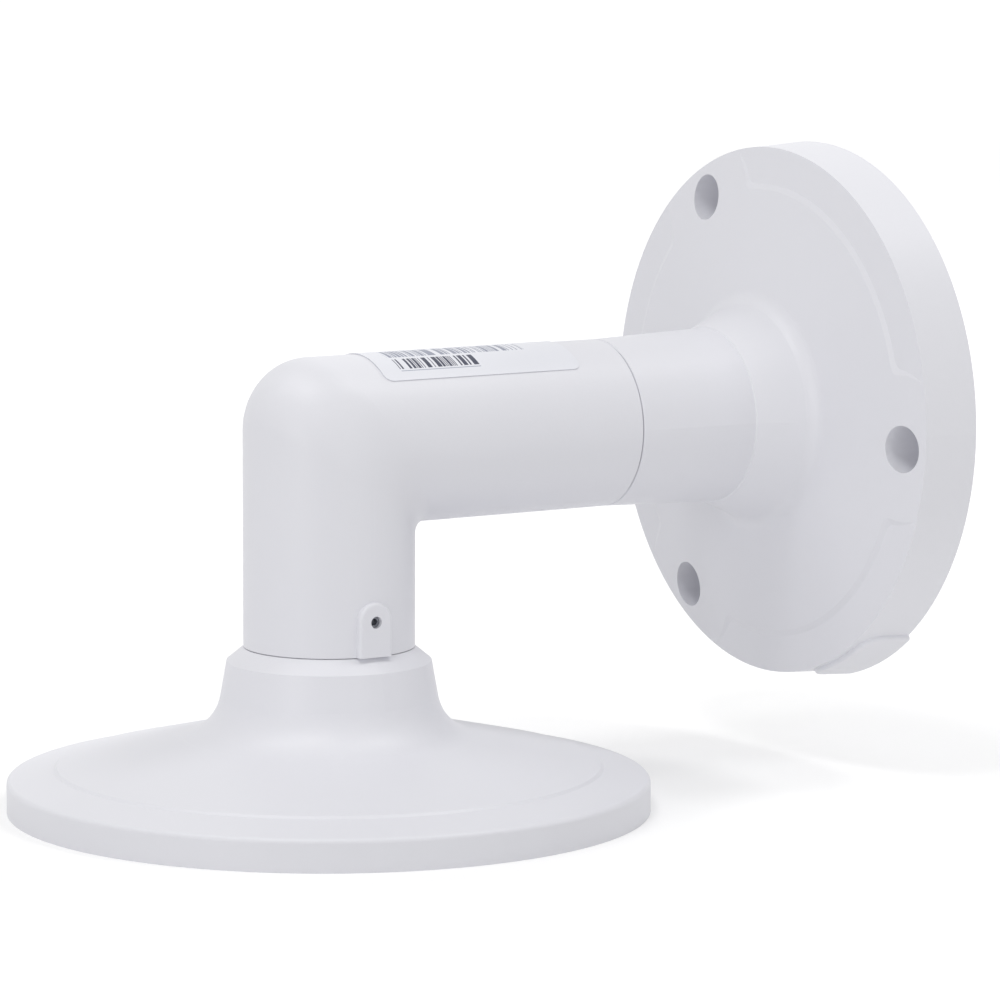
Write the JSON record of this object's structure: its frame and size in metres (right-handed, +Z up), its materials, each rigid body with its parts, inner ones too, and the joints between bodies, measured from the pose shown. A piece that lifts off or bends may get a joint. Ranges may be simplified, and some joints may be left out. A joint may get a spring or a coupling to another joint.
{
  "type": "camera wall bracket",
  "caption": "Wall bracket for a surveillance camera: round wall flange, hollow elbow arm and flared round plate below it.",
  "frame": {"origin": "centre of the wall plate's back face, on the wall", "axes": "+Z up, +Y into the wall, the arm runs along -Y and its lower end points down"},
  "size_m": [0.1382, 0.1964, 0.1392],
  "materials": {
    "white_paint": "satin powder coat on cast aluminium",
    "black_rubber": "matt",
    "screw_steel": "dark plated",
    "label_film": "satin film"
  },
  "bodies": {
    "root": {"wall_plate": "white_paint", "elbow_arm": "white_paint", "camera_plate": "white_paint", "wall_gasket": "black_rubber", "camera_gasket": "black_rubber", "arm_seal_ring": "black_rubber", "plate_seal_ring": "black_rubber", "lock_screw": "screw_steel", "neck_lock_screw": "screw_steel", "arm_label": "label_film"}
  },
  "joints": []
}
